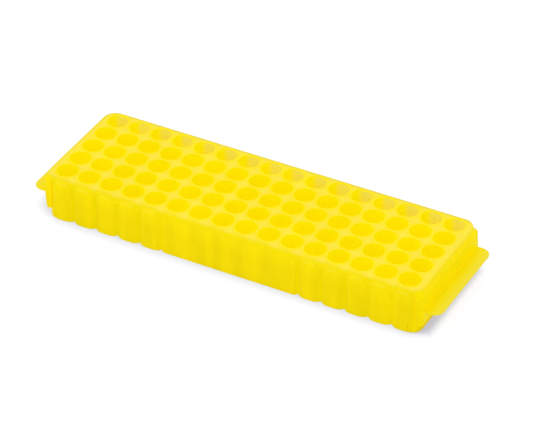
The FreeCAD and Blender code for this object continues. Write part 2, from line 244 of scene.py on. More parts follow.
class Shell:
    """Points in millimetres and the faces between them."""

    def __init__(self):
        self.points = []
        self.faces = []

    def loop(self, path, height):
        """Add one level of points and return their numbers."""
        first = len(self.points)
        self.points += [(x, y, height) for x, y in path]
        return list(range(first, len(self.points)))

    def skin(self, loops):
        """Quads all round between each loop and the next."""
        for lower, upper in zip(loops, loops[1:]):
            for here in range(len(lower)):
                following = (here + 1) % len(lower)
                self.faces.append((lower[here], lower[following], upper[following], upper[here]))

    def fill(self, loops, keep=None):
        """Triangles over the flat region between loops that lie in one level plane."""
        numbers = [number for loop in loops for number in loop]
        place = {number: index for index, number in enumerate(numbers)}
        flat = [Vector(self.points[number][:2]) for number in numbers]
        edges = []
        for loop in loops:
            edges += [(place[a], place[b]) for a, b in zip(loop, loop[1:] + loop[:1])]
        result = delaunay_2d_cdt(flat, edges, [], 1, TINY)
        for face in result[2]:
            corners = [numbers[result[3][corner][0]] for corner in face]
            middle = sum((Vector(self.points[corner][:2]) for corner in corners), Vector((0, 0)))
            centre = middle / len(corners)
            if keep is None or keep(centre):
                self.faces.append(tuple(corners))


def make_piece(name, shell, material, node):
    """Turn a shell into an object that stands for a CAD node."""
    mesh = bpy.data.meshes.new(name)
    mesh.from_pydata([tuple(value / METRE for value in point) for point in shell.points], [], shell.faces)
    work = bmesh.new()
    work.from_mesh(mesh)
    bmesh.ops.remove_doubles(work, verts=work.verts, dist=WELD)
    bmesh.ops.dissolve_degenerate(work, edges=work.edges, dist=WELD)
    bmesh.ops.recalc_face_normals(work, faces=work.faces)
    work.to_mesh(mesh)
    work.free()
    mesh.shade_smooth()
    mesh.set_sharp_from_angle(angle=SMOOTH_ANGLE)
    mesh.materials.append(material)
    item = bpy.data.objects.new(name, mesh)
    bpy.context.scene.collection.objects.link(item)
    weighted = item.modifiers.new("EvenNormals", "WEIGHTED_NORMAL")
    weighted.keep_sharp = True
    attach(item, "root")
    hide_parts(node)


def prism(shell, levels, outline_at, held_x=None):
    """Closed block through (height, inset) levels; held_x keeps points on that plane."""
    loops = []
    for height, amount in levels:
        outline = outline_at(height)
        moved = inset(outline, miters(outline, True), amount)
        if held_x is not None:
            moved = [
                (before[0] if abs(before[0] - held_x) < CLOSE else after[0], after[1])
                for before, after in zip(outline, moved)
            ]
        loops.append(shell.loop(moved, height))
    shell.skin(loops)
    shell.fill([loops[0]])
    shell.fill([loops[-1]])


def rounded_levels(low, high, low_round, high_round, between=()):
    """(height, inset) levels of a block with rounded bottom and top edges."""
    levels = [(low + low_round * up, low_round * inward) for inward, up in quarter()]
    levels += [(height, 0.0) for height in between]
    levels += [(high - high_round * up, high_round * inward) for inward, up in reversed(quarter())]
    return levels


def sweep(shell, rows, closed_path=False, shelf=None, cut_from=None):
    """Skin a wall given as rows of points that run along it, one row per section point.

    The section closes on itself.  From station cut_from on, the rows between the two
    shelf rows are left out and a flat underside joins those two rows instead.
    """
    numbers = []
    for row in rows:
        first = len(shell.points)
        shell.points += row
        numbers.append(list(range(first, len(shell.points))))
    stations = len(rows[0])
    last = stations if closed_path else stations - 1
    for index, row in enumerate(numbers):
        following = numbers[(index + 1) % len(numbers)]
        for here in range(last):
            if cut_from is not None and here >= cut_from and shelf[0] <= index < shelf[1]:
                continue
            ahead = (here + 1) % stations
            shell.faces.append((row[here], row[ahead], following[ahead], following[here]))
    if cut_from is not None:
        upper, lower = numbers[shelf[0]], numbers[shelf[1]]
        for here in range(cut_from, last):
            shell.faces.append((upper[here], upper[here + 1], lower[here + 1], lower[here]))
        shell.faces.append(tuple(numbers[index][cut_from] for index in range(shelf[0], shelf[1] + 1)))
    if not closed_path:
        shell.faces.append(tuple(row[0] for row in numbers))
        kept = [
            row[-1] for index, row in enumerate(numbers)
            if cut_from is None or not shelf[0] < index < shelf[1]
        ]
        shell.faces.append(tuple(kept))


def foot_rows(path, directions, thickness):
    """Rows round the foot of a wall, from its outer face to its inner one."""
    rows = []
    for inward, up in reversed(quarter()):
        moved = inset(path, directions, FOOT_ROUND * inward)
        rows.append([(x, y, FOOT_ROUND * up) for x, y in moved])
    for inward, up in quarter():
        moved = inset(path, directions, thickness - FOOT_ROUND * inward)
        rows.append([(x, y, FOOT_ROUND * up) for x, y in moved])
    return rows


def mirrored(rows, side_x, side_y):
    """Rows of points moved to another side of the rack."""
    return [[(x * side_x, y * side_y, z) for x, y, z in row] for row in rows]


# ------------------------------------------------------------------ deck and wells

def circle(centre, radius):
    """Points round a well, one for each of its segments."""
    return arc(centre, radius, 0, 360 * (1 - 1 / WELL_SEGMENTS), WELL_SEGMENTS - 1)


# A triangle's middle lies beyond this share of a ring's radius only when it is outside it.
OUTSIDE = 0.998


def nearest_well(point):
    """Distance from a point of the plan to the axis of the closest well."""
    return min((Vector((axis.x, axis.y)) - point).length for row in wells.values() for axis in row)


def deck_shell():
    """Plate with a rounded edge; its openings rise a little to meet the cups' rims."""
    shell = Shell()
    plane = TOP - RIM_RISE
    outline = rounded_rectangle(HALF_LENGTH, HALF_WIDTH, DECK_CORNER, COLUMN_PITCH / 2)
    directions = miters(outline, True)
    levels = [(deck_low.z, 0.0)]
    levels += [(plane - DECK_EDGE_ROUND * up, DECK_EDGE_ROUND * inward)
               for inward, up in reversed(quarter(DECK_EDGE_STEPS))]
    sides = [shell.loop(inset(outline, directions, amount), height) for height, amount in levels]
    shell.skin(sides)
    lower, upper = [sides[0]], [sides[-1]]
    collar = (
        (CUP_RADIUS, deck_low.z),
        (CUP_RADIUS, plane + RIM_UPRIGHT),
        (CUP_RADIUS + RIM_FOOT * RIM_HOLLOW_OUT, plane + RIM_UPRIGHT * RIM_HOLLOW_UP),
        (CUP_RADIUS + RIM_FOOT, plane),
    )
    for row in wells.values():
        for axis in row:
            rings = [shell.loop(circle((axis.x, axis.y), radius), height) for radius, height in collar]
            shell.skin(rings)
            lower.append(rings[0])
            upper.append(rings[-1])
    shell.fill(lower, lambda point: nearest_well(point) > CUP_RADIUS * OUTSIDE)
    shell.fill(upper, lambda point: nearest_well(point) > (CUP_RADIUS + RIM_FOOT) * OUTSIDE)
    return shell


def cup_profile():
    """(radius, height) points from the underside's centre to the floor's centre."""
    bottom = cup_low.z
    plane = TOP - RIM_RISE
    floor = bottom + CUP_FLOOR
    bore = WELL_RADIUS
    foot = bore - CUP_DRAFT
    crest = bore + MOUTH_ROUND
    points = [(0.0, bottom), (CUP_RADIUS - CUP_BOTTOM_ROUND, bottom)]
    turn = (CUP_RADIUS - CUP_BOTTOM_ROUND, bottom + CUP_BOTTOM_ROUND)
    points += arc(turn, CUP_BOTTOM_ROUND, -90, 0, SMALL_ARC_STEPS)[1:]
    lip = plane + RIM_UPRIGHT
    points += [(CUP_RADIUS, deck_low.z), (CUP_RADIUS, lip)]
    for step in range(1, ROUND_STEPS + 1):
        angle = math.pi / 2 * step / ROUND_STEPS
        points.append((crest + (CUP_RADIUS - crest) * math.cos(angle),
                       lip + (TOP - lip) * math.sin(angle)))
    points += arc((crest, TOP - MOUTH_ROUND), MOUTH_ROUND, 90, 180, SMALL_ARC_STEPS)[1:]
    points.append((bore - CUP_DRAFT * UPPER_DRAFT_SHARE, TOP * (1 - UPPER_DRAFT_SHARE)))
    points.append((foot, floor + CUP_INNER_ROUND))
    turn = (foot - CUP_INNER_ROUND, floor + CUP_INNER_ROUND)
    points += arc(turn, CUP_INNER_ROUND, 0, -90, SMALL_ARC_STEPS)[1:]
    points += [(foot * FLOOR_RING_SHARE, floor), (0.0, floor)]
    return points


def cup_row_shell(letter):
    """Sixteen thin round cups with rolled rims and rounded bottoms."""
    shell = Shell()
    for axis in wells[letter]:
        rings = [
            shell.loop(circle((axis.x, axis.y), max(radius, TINY)), height)
            for radius, height in cup_profile()
        ]
        shell.skin(rings)
    return shell


def web_shell(along_x):
    """Short upright webs with hollow ends that fit the cups."""
    shell = Shell()
    pitch = COLUMN_PITCH if along_x else ROW_PITCH
    spread = math.degrees(math.asin(WEB_HALF / CUP_RADIUS))
    outline = arc((-pitch / 2, 0), CUP_RADIUS, spread, -spread, WEB_END_STEPS)
    outline += arc((pitch / 2, 0), CUP_RADIUS, 180 + spread, 180 - spread, WEB_END_STEPS)
    letters = ROW_LETTERS if along_x else ROW_LETTERS[:-1]
    for letter in letters:
        for axis in wells[letter][:-1] if along_x else wells[letter]:
            centre = (axis.x + pitch / 2, axis.y) if along_x else (axis.x, axis.y + pitch / 2)
            placed = [
                (centre[0] + u, centre[1] + v) if along_x else (centre[0] - v, centre[1] + u)
                for u, v in outline
            ]
            prism(shell, [(web_low.z, 0.0), (deck_low.z, 0.0)], lambda height: placed)
    return shell


# --------------------------------------------------------------------- long sides

LOBE_REACH = -wall_low.y
LOBE_CENTRE_Y = LOBE_REACH - LOBE_ROUND
HALF_FLAT = LOBE_FLAT / 2
SHOULDER = COLUMN_PITCH / 2 - HALF_FLAT


def lobe_angles(end_angle):
    """Angles along one shoulder, with one where the shoulder crosses the skirt's face."""
    crossing = math.degrees(math.acos((HALF_WIDTH - LOBE_CENTRE_Y) / LOBE_ROUND))
    steps = [end_angle * step / LOBE_STEPS for step in range(LOBE_STEPS + 1)]
    nearest = min(range(1, LOBE_STEPS), key=lambda index: abs(steps[index] - crossing))
    steps[nearest] = crossing
    return steps


def fluted_path():
    """Plan of the front right wall's face, from the flat panel to the end wall."""
    tangent = math.degrees(math.asin(SHOULDER / (LOBE_ROUND + GROOVE_ROUND)))
    cusp = math.degrees(math.asin(SHOULDER / LOBE_ROUND))
    groove_y = LOBE_CENTRE_Y + math.sqrt((LOBE_ROUND + GROOVE_ROUND) ** 2 - SHOULDER ** 2)
    count = round((GRID_END - PANEL_HALF) / COLUMN_PITCH)
    path = []
    for index in range(count):
        centre = PANEL_HALF + (index + 0.5) * COLUMN_PITCH
        for angle in reversed(lobe_angles(cusp if index == 0 else tangent)):
            turn = math.radians(angle)
            path.append((centre - HALF_FLAT - LOBE_ROUND * math.sin(turn),
                         -LOBE_CENTRE_Y - LOBE_ROUND * math.cos(turn)))
        path += straight(path[-1], (centre + HALF_FLAT, -LOBE_REACH), LOBE_FLAT_SPACING)
        right = lobe_angles(cusp if index == count - 1 else tangent)
        if index == count - 1:
            right[1] = math.degrees(math.asin((rim_low.x - centre - HALF_FLAT) / LOBE_ROUND))
        for angle in right:
            turn = math.radians(angle)
            path.append((centre + HALF_FLAT + LOBE_ROUND * math.sin(turn),
                         -LOBE_CENTRE_Y - LOBE_ROUND * math.cos(turn)))
        if index < count - 1:
            edge = centre + COLUMN_PITCH / 2
            for share in GROOVE_TURNS:
                turn = math.radians(share * tangent)
                path.append((edge - GROOVE_ROUND * math.sin(turn),
                             -groove_y + GROOVE_ROUND * math.cos(turn)))
    return path


def skirt_line(x):
    """How far the skirt's face reaches from the centre plane at this x."""
    past = max(0.0, abs(x) - (HALF_LENGTH - DECK_CORNER))
    return HALF_WIDTH - DECK_CORNER + math.sqrt(max(DECK_CORNER ** 2 - past ** 2, 0.0))


def wall_rows(path, directions, thickness, roofed, shelf_height=None):
    """Rows of section points of a long side's wall, from its outer top edge round."""
    heads = [
        (x, min(y, -HALF_WIDTH)) if roof else (x, y)
        for (x, y), roof in zip(path, roofed)
    ]
    easing = [
        min(LEDGE_ROUND, max(0.0, (-y - skirt_line(x)) * LEDGE_ROUND_SHARE))
        for x, y in heads
    ]
    rows = []
    for inward, down in quarter():
        rows.append([
            (x, y + ease * inward, LEDGE - ease * down)
            for (x, y), ease in zip(heads, easing)
        ])
    rows.append([(x, y, LEDGE - ROOF_THICKNESS) for x, y in heads])
    rows.append([(x, y, LEDGE - ROOF_THICKNESS) for x, y in path])
    inner = inset(path, directions, thickness)
    shelf = None
    if shelf_height is not None:
        rows.append([(x, y, shelf_height) for x, y in path])
    shelf_outer = len(rows) - 1
    rows += foot_rows(path, directions, thickness)
    if shelf_height is not None:
        rows.append([(x, y, shelf_height) for x, y in inner])
        shelf = (shelf_outer, len(rows) - 1)
    rows.append([(x, y, LEDGE) for x, y in inner])
    return rows, shelf


def fluted_wall_shell(side_x, side_y):
    """Five lobes and the grooves between them, with the roofs that close the grooves."""
    path = fluted_path()
    directions = miters(path, False)
    directions[0] = directions[-1] = (0.0, -1.0)
    rows, shelf = wall_rows(path, directions, LOBE_WALL, [True] * len(path), rim_high.z)
    cut_from = min(range(len(path)), key=lambda index: abs(path[index][0] - rim_low.x))
    shell = Shell()
    sweep(shell, mirrored(rows, side_x, side_y), shelf=shelf, cut_from=cut_from)
    return shell


def flat_panel_shell(side_y):
    """Flat panel whose ends curl inwards under small roofs."""
    turn_x = PANEL_HALF - PANEL_END_ROUND
    turn_y = -(HALF_WIDTH - PANEL_END_ROUND)
    path = [(-PANEL_HALF, -LEG_INNER)]
    path += arc((-turn_x, turn_y), PANEL_END_ROUND, 180, 270, PANEL_END_STEPS)
    path += straight(path[-1], (turn_x, -HALF_WIDTH), COLUMN_PITCH / 4)
    path += arc((turn_x, turn_y), PANEL_END_ROUND, 270, 360, PANEL_END_STEPS)
    path.append((PANEL_HALF, -LEG_INNER))
    roofed = [1 < index < len(path) - 2 for index in range(len(path))]
    rows, _ = wall_rows(path, miters(path, False), PANEL_THICKNESS, roofed)
    shell = Shell()
    sweep(shell, mirrored(rows, 1, side_y))
    return shell


def lobe_ledge(x, y):
    """How far a lobe's face stands out from the skirt's long side at this x."""
    if abs(y) < HALF_WIDTH - CLOSE or abs(x) < PANEL_HALF or abs(x) > GRID_END:
        return 0.0
    along = (abs(x) - PANEL_HALF) % COLUMN_PITCH - COLUMN_PITCH / 2
    past = max(0.0, abs(along) - HALF_FLAT)
    reach = LOBE_CENTRE_Y + math.sqrt(max(LOBE_ROUND ** 2 - past ** 2, 0.0))
    return max(0.0, reach - HALF_WIDTH)


def over_wall(x, y):
    """Whether a point of the plan lies within the end walls' outline under the skirt."""
    past_x = max(0.0, abs(x) - (END_TOP - END_CORNER))
    past_y = max(0.0, abs(y) - (HALF_WIDTH - END_CORNER))
    return math.hypot(past_x, past_y) <= END_CORNER + CLOSE


def flare_width(x, y, nx, ny):
    """Distance from the skirt's upper face out to the end wall's face below it."""
    near, far = 0.0, FLARE_LIMIT
    for _ in range(FLARE_HALVINGS):
        middle = (near + far) / 2
        if over_wall(x + nx * middle, y + ny * middle):
            near = middle
        else:
            far = middle
    return near


def skirt_shell():
    """Wall under the deck's edge; it flares out to meet the walls below."""
    outline = rounded_rectangle(HALF_LENGTH, HALF_WIDTH, DECK_CORNER, SKIRT_SPACING)
    directions = miters(outline, True)
    flares = [
        max(flare_width(x, y, nx, ny), FLARE_OVER_LOBES * lobe_ledge(x, y))
        for (x, y), (nx, ny) in zip(outline, directions)
    ]
    rows = []
    for step in range(FLARE_STEPS + 1):
        share = step / FLARE_STEPS
        height = skirt_high.z + (LEDGE - skirt_high.z) * share
        out = share ** FLARE_POWER
        rows.append([
            (x + nx * flare * out, y + ny * flare * out, height)
            for (x, y), (nx, ny), flare in zip(outline, directions, flares)
        ])
    inner = inset(outline, directions, SKIRT_THICKNESS)
    rows.append([(x, y, LEDGE) for x, y in inner])
    rows.append([(x, y, skirt_high.z) for x, y in inner])
    shell = Shell()
    sweep(shell, rows, closed_path=True)
    return shell


# --------------------------------------------------------------------------- ends

def end_outline(height):
    """Plan of the right end wall at one height, anticlockwise."""
    middle = (flange_low.z + flange_high.z) / 2
    if height > middle:
        share = (height - middle) / (end_high.z - middle)
        face = end_high.x - END_TOP_STEP * share
    else:
        share = (middle - height) / (middle - end_low.z)
        face = end_high.x - END_LOW_STEP * share
    round_x = GRID_END + END_GROOVE_ROUND
    round_y = HALF_WIDTH - END_GROOVE_ROUND
    points = [(GRID_END, -LEG_INNER)]
    points += arc((round_x, -round_y), END_GROOVE_ROUND, 180, 270, SMALL_ARC_STEPS)
    points += right_turns(face, HALF_WIDTH, END_CORNER)
    points += arc((round_x, round_y), END_GROOVE_ROUND, 90, 180, SMALL_ARC_STEPS)
    points += [(GRID_END, LEG_INNER), (face - END_WALL, LEG_INNER), (face - END_WALL, -LEG_INNER)]
    return points


def side_turned(shell, side_x):
    """Shell as it is for the right end, or mirrored for the left one."""
    shell.points = [(x * side_x, y, z) for x, y, z in shell.points]
    return shell


def end_wall_shell(side_x):
    """End wall with rounded corners, widest where the grip flange joins it."""
    shell = Shell()
    between = [end_low.z + (end_high.z - end_low.z) * share for share in END_LEVEL_SHARES]
    prism(shell, rounded_levels(end_low.z, end_high.z, FOOT_ROUND, END_TOP_ROUND, between), end_outline)
    return side_turned(shell, side_x)


def base_rim_shell(side_x):
    """Low rim with wide corners at the foot of an end."""
    path = right_turns(rim_high.x, HALF_WIDTH, BASE_CORNER)
    directions = miters(path, False)
    directions[0], directions[-1] = (0.0, -1.0), (0.0, 1.0)
    rows = [[(x, y, rim_high.z) for x, y in path]]
    rows += foot_rows(path, directions, BASE_WALL)
    rows.append([(x, y, rim_high.z) for x, y in inset(path, directions, BASE_WALL)])
    shell = Shell()
    sweep(shell, rows)
    return side_turned(shell, side_x)


def flange_outline(height):
    """Plan of the right grip flange, anticlockwise."""
    points = [(flange_low.x, -flange_high.y)]
    points += right_turns(flange_high.x, flange_high.y, FLANGE_CORNER)
    points.append((flange_low.x, flange_high.y))
    return points


def grip_flange_shell(side_x):
    """Flat lip with rounded free edges."""
    shell = Shell()
    levels = rounded_levels(flange_low.z, flange_high.z, FLANGE_ROUND, FLANGE_ROUND)
    prism(shell, levels, flange_outline, held_x=flange_low.x)
    return side_turned(shell, side_x)


# ---------------------------------------------------------------------- materials

def node(tree, kind, inputs=None, **settings):
    """Add a shader node; inputs are values or sockets by socket name or number."""
    made = tree.nodes.new(kind)
    for key, value in settings.items():
        setattr(made, key, value)
    for key, value in (inputs or {}).items():
        if isinstance(value, bpy.types.NodeSocket):
            tree.links.new(value, made.inputs[key])
        else:
            made.inputs[key].default_value = value
    return made


def maths(tree, operation, first, second=0.0):
    """Result of one arithmetic step."""
    made = node(tree, "ShaderNodeMath", {0: first, 1: second}, operation=operation)
    return made.outputs[0]


def ramp(tree, value, low, high, out_low=0.0, out_high=1.0, smooth=True):
    """Value mapped from one range to another, held at the ends."""
    made = node(tree, "ShaderNodeMapRange",
                {"Value": value, "From Min": low, "From Max": high, "To Min": out_low, "To Max": out_high},
                interpolation_type="SMOOTHSTEP" if smooth else "LINEAR")
    return made.outputs["Result"]


# The numbers of a Mix node's sockets that carry colours.
MIX_INPUTS = (6, 7)
MIX_RESULT = 2


def blend_colour(tree, factor, first, second, mode="MIX"):
    """Two colours mixed, or multiplied, by a factor."""
    made = node(tree, "ShaderNodeMix", {"Factor": factor}, data_type="RGBA", blend_type=mode)
    for number, value in zip(MIX_INPUTS, (first, second)):
        socket = made.inputs[number]
        if isinstance(value, bpy.types.NodeSocket):
            tree.links.new(value, socket)
        else:
            socket.default_value = (*value, 1.0)
    return made.outputs[MIX_RESULT]


def ramp_mm(tree, value, low, high, *levels, **options):
    """Ramp over a distance whose ends are given in millimetres."""
    return ramp(tree, value, low / METRE, high / METRE, *levels, **options)


def distance(tree, axis):
    """How far a place lies to either side of the centre along one axis, in metres."""
    return maths(tree, "ABSOLUTE", axis)


def noise(tree, place, scale, detail):
    """Fractal noise; scale is in repeats per metre."""
    made = node(tree, "ShaderNodeTexNoise", {"Vector": place, "Scale": scale, "Detail": detail})
    return made.outputs[0]


def grey(tree, level):
    """Colour with the same level in all its channels."""
    return node(tree, "ShaderNodeCombineColor", {0: level, 1: level, 2: level}).outputs[0]


NOISE_RANGE = (0.3, 0.7)
COARSE_DETAIL = 2.0
FINE_DETAIL = 3.0
CLOUD_SCALE = 55.0
CLOUD_LEVELS = (0.985, 1.01)
SPECK_SCALE = 1400.0
SPECK_LEVELS = (-0.01, 0.01)
GRAIN_SCALE = 2600.0
GRAIN_STRENGTH = 0.25
GRAIN_DEPTH = 0.00002
ROUGHNESS_LEVELS = (0.37, 0.47)
PLASTIC_IOR = 1.49
DECK_GLOSS = 0.12
CUP_GLOSS = 0.02
WALL_GLOSS = 0.015
FLANGE_GLOSS = 0.06


def plastic(name, colour_at, glow_at, gloss):
    """Satin translucent plastic; the two builders give its colour and a painted glow, an emission that
    stands in for light inside the plastic.
    """
    material = bpy.data.materials.new(name)
    material.use_nodes = True
    tree = material.node_tree
    tree.nodes.clear()
    place = node(tree, "ShaderNodeTexCoord").outputs["Object"]
    split = node(tree, "ShaderNodeSeparateXYZ", {0: place})
    axes = [split.outputs[index] for index in range(3)]
    flow = noise(tree, place, CLOUD_SCALE, COARSE_DETAIL)
    speckle = noise(tree, place, SPECK_SCALE, COARSE_DETAIL)
    clouds = ramp(tree, flow, *NOISE_RANGE, *CLOUD_LEVELS)
    specks = ramp(tree, speckle, *NOISE_RANGE, *SPECK_LEVELS)
    mottle = grey(tree, maths(tree, "ADD", clouds, specks))
    colour = blend_colour(tree, 1.0, colour_at(tree, axes), mottle, "MULTIPLY")
    bump = node(tree, "ShaderNodeBump", {
        "Height": noise(tree, place, GRAIN_SCALE, FINE_DETAIL),
        "Strength": GRAIN_STRENGTH,
        "Distance": GRAIN_DEPTH,
    })
    shader = node(tree, "ShaderNodeBsdfPrincipled", {
        "Base Color": colour,
        "Roughness": ramp(tree, speckle, *NOISE_RANGE, *ROUGHNESS_LEVELS),
        "IOR": PLASTIC_IOR,
        "Specular IOR Level": gloss,
        "Normal": bump.outputs[0],
        # Painted glow: the colour itself gives off light, though no part of the rack is a lamp.
        "Emission Color": colour,
        "Emission Strength": glow_at(tree, axes),
    })
    output = node(tree, "ShaderNodeOutputMaterial")
    tree.links.new(shader.outputs[0], output.inputs["Surface"])
    return material


# Painted sheen: a paler deck colour with more blue, for light glancing off the plate.
DECK_PAINTED_SHEEN = (0.955, 0.775, 0.045)
DECK_NEAR = (0.955, 0.760, 0.012)
# Painted shade: a greyer, darker deck colour for the back and the left end.
DECK_PAINTED_SHADE = (0.805, 0.670, 0.028)
# Painted light: the inside of the wells is lighter than the walls' colour, to lift the shade in them.
WELL_PAINTED_LIGHT = (0.958, 0.856, 0.0006)
# Painted shade: a darker band round each well's mouth.
WELL_MOUTH_SHADE = (0.925, 0.708, 0.0006)
# Painted light: a pale greyish veil in the back row's wells, where light comes through the back wall.
WELL_PAINTED_VEIL = (0.860, 0.770, 0.140)
WALL_HIGH = (0.920, 0.735, 0.001)
WALL_LOW = (0.870, 0.678, 0.0006)
GROOVE = (0.810, 0.722, 0.0006)
# Painted highlight on the lobes' rounded top edges.
CREST_HIGHLIGHT = (0.970, 0.830, 0.030)
WALL_EDGE = (0.956, 0.780, 0.004)
END_FACE = (0.890, 0.722, 0.001)
FLANGE_ROOT = (0.872, 0.726, 0.0006)
# Painted light: a paler tip where light comes through the thin flange.
FLANGE_TIP_PAINTED_LIGHT = (0.855, 0.722, 0.037)

CREST_HIGHLIGHT_STRENGTH = 0.35
STREAK_SCALE = 190.0
STREAK_HEIGHT_SHARE = 0.12
STREAK_RANGE = (0.32, 0.68)
STREAK_LEVELS = (0.968, 1.028)
PANEL_SHADE_BAND_LEVELS = (0.975, 1.005)
LEFT_SHADE_STRENGTH = 0.6
VEIL_SLANT = 0.6
VEIL_LEVELS = (0.85, 0.1)
BESIDE_FLANGE_LEVELS = (1.0, 0.3)
FALLING = (1.0, 0.0)

# Spans over which the looks change, in millimetres: AROUND a well's axis, ALONG the rack,
# ACROSS it, and HEIGHTS above the ground.
SHEEN_AROUND = (CUP_RADIUS + 0.1, CUP_RADIUS + 1.9)
SHEEN_MARGIN_ALONG = (GRID_END - 1.8, GRID_END + 0.5)
DECK_EDGE_ALONG = (HALF_LENGTH - 1.1, HALF_LENGTH)
LEFT_SHADE_ALONG = (-HALF_LENGTH, 3.0 - HALF_LENGTH)
BACK_SHADE_ACROSS = (HALF_WIDTH - 3.0, HALF_WIDTH)
INSIDE_AROUND = (WELL_RADIUS + 0.1, WELL_RADIUS + 0.5)
INSIDE_HEIGHTS = (cup_low.z + CUP_FLOOR - 0.3, cup_low.z + CUP_FLOOR - 0.1)
RIM_HEIGHTS = (TOP - 1.2, TOP - 0.8)
BETWEEN_ROWS = wells[ROW_LETTERS[-1]][0].y - ROW_PITCH / 2
BACK_ROW_ACROSS = (BETWEEN_ROWS - 0.2, BETWEEN_ROWS + 0.2)
VEIL_AROUND = (-2.5, 2.0)
VEIL_HEIGHTS = (TOP - 0.9, TOP - 0.4)
MOUTH_HEIGHTS = (TOP - 0.5, TOP - 0.15)
LIP_AROUND = (WELL_RADIUS + 0.3, CUP_RADIUS - 0.25)
LIP_HEIGHTS = (TOP - 1.3, TOP - 0.5)
CUP_HEIGHTS = (0.0, TOP - 1.0)
GROOVE_ACROSS = (HALF_WIDTH - PANEL_END_ROUND, HALF_WIDTH)
LONG_SIDE_ALONG = (GRID_END, GRID_END + 0.4)
CREST_HIGHLIGHT_ACROSS = (HALF_WIDTH + 0.02, HALF_WIDTH + 0.14)
CREST_HIGHLIGHT_HEIGHTS = (LEDGE - 0.45, LEDGE - 0.1)
WALL_HEIGHTS = (LEDGE - 10.0, LEDGE)
WALL_EDGE_HEIGHTS = (TOP - 3.6, TOP - 0.8)
SHADE_BAND_AROUND = (1.5, 4.8)
ABOVE_RIM_HEIGHTS = (rim_high.z, rim_high.z + 0.5)
LAST_GROOVE_ALONG = (GRID_END - 1.5, GRID_END - 0.2)
BESIDE_PANEL = (0.2, 1.2)
END_FACE_ALONG = (GRID_END + 2.2, GRID_END + 3.8)
END_GROOVE_ALONG = (GRID_END, GRID_END + 0.9)
OVER_FLANGE_HEIGHTS = (flange_high.z, end_high.z)
END_ROOT_HEIGHTS = (flange_high.z, flange_high.z + 0.9)
UNDER_FLANGE_HEIGHTS = (flange_low.z - 1.5, flange_low.z)
BESIDE_FLANGE_ACROSS = (flange_high.y - 2.5, flange_high.y + 0.5)
FLANGE_ROOT_ALONG = (end_high.x, end_high.x + 1.3)
FLANGE_TIP_ALONG = (end_high.x + 1.8, flange_high.x)

# Painted glow: share of the colour that each place gives off as emission, standing in for light through
# the plastic and lifting its shade.
DECK_GLOW = 0.02
CUP_GLOW_LEVELS = (0.22, 0.12)
BACK_ROW_GLOW = 0.02
WALL_GLOW = 0.08
GROOVE_GLOW = 0.07
PANEL_GROOVE_GLOW = 0.10
LAST_GROOVE_GLOW = 0.12
END_GROOVE_GLOW_LEVELS = (0.20, 0.075)
OVER_FLANGE_GLOW_LEVELS = (0.09, 0.035)
END_ROOT_GLOW = 0.07
SKIRT_GLOW = 0.05
SKIRT_END_GLOW = 0.045
FLANGE_GLOW_LEVELS = (0.14, 0.035)


def height_ramp(tree, axes, low, high, *levels, **options):
    """Ramp over a span of height given in millimetres above the ground."""
    return ramp_mm(tree, axes[2], low, high, *levels, **options)


def well_offsets(tree, axes):
    """Signed distance in metres along X and Y from the axis of the nearest well."""
    offsets = []
    columns, rows = len(wells["a"]), len(wells)
    for axis, pitch, count in ((axes[0], COLUMN_PITCH, columns), (axes[1], ROW_PITCH, rows)):
        step = pitch / METRE
        shifted = maths(tree, "ADD", axis, step / 2 * (count % 2))
        offsets.append(maths(tree, "SUBTRACT", maths(tree, "FLOORED_MODULO", shifted, step), step / 2))
    return offsets


def well_distance(tree, axes):
    """Distance in metres from the axis of the nearest well."""
    squares = [maths(tree, "MULTIPLY", offset, offset) for offset in well_offsets(tree, axes)]
    return maths(tree, "SQRT", maths(tree, "ADD", *squares))


def deck_colour(tree, axes):
    """Painted sheen makes the plate paler between four wells, where it is open below, and along the end
    margins; painted shade makes it greyer and darker along the back and the left end.
    """
    # Painted sheen between the wells and along the end margins.
    sheen_between = ramp_mm(tree, well_distance(tree, axes), *SHEEN_AROUND)
    along = distance(tree, axes[0])
    sheen_margin = ramp_mm(tree, along, *SHEEN_MARGIN_ALONG)
    edge = ramp_mm(tree, along, *DECK_EDGE_ALONG)
    sheen_margin = maths(tree, "SUBTRACT", sheen_margin, edge)
    colour = blend_colour(tree, maths(tree, "MAXIMUM", sheen_between, sheen_margin), DECK_NEAR, DECK_PAINTED_SHEEN)
    colour = blend_colour(tree, edge, colour, DECK_NEAR)
    # Painted shade along the back and the left end.
    back = ramp_mm(tree, axes[1], *BACK_SHADE_ACROSS)
    left = ramp_mm(tree, axes[0], *LEFT_SHADE_ALONG, LEFT_SHADE_STRENGTH, 0.0)
    return blend_colour(tree, maths(tree, "MAXIMUM", back, left), colour, DECK_PAINTED_SHADE)


def inside_share(tree, axes):
    """1 on the inside of the wells and on their rims, 0 on the cups' outsides."""
    near = ramp_mm(tree, well_distance(tree, axes), *INSIDE_AROUND, *FALLING)
    above = height_ramp(tree, axes, *INSIDE_HEIGHTS)
    rim = height_ramp(tree, axes, *RIM_HEIGHTS)
    return maths(tree, "MAXIMUM", maths(tree, "MULTIPLY", near, above), rim)


def back_row(tree, axes, amount):
    """The given amount in the back row of cups, 0 in the other rows."""
    return ramp_mm(tree, axes[1], *BACK_ROW_ACROSS, 0.0, amount)


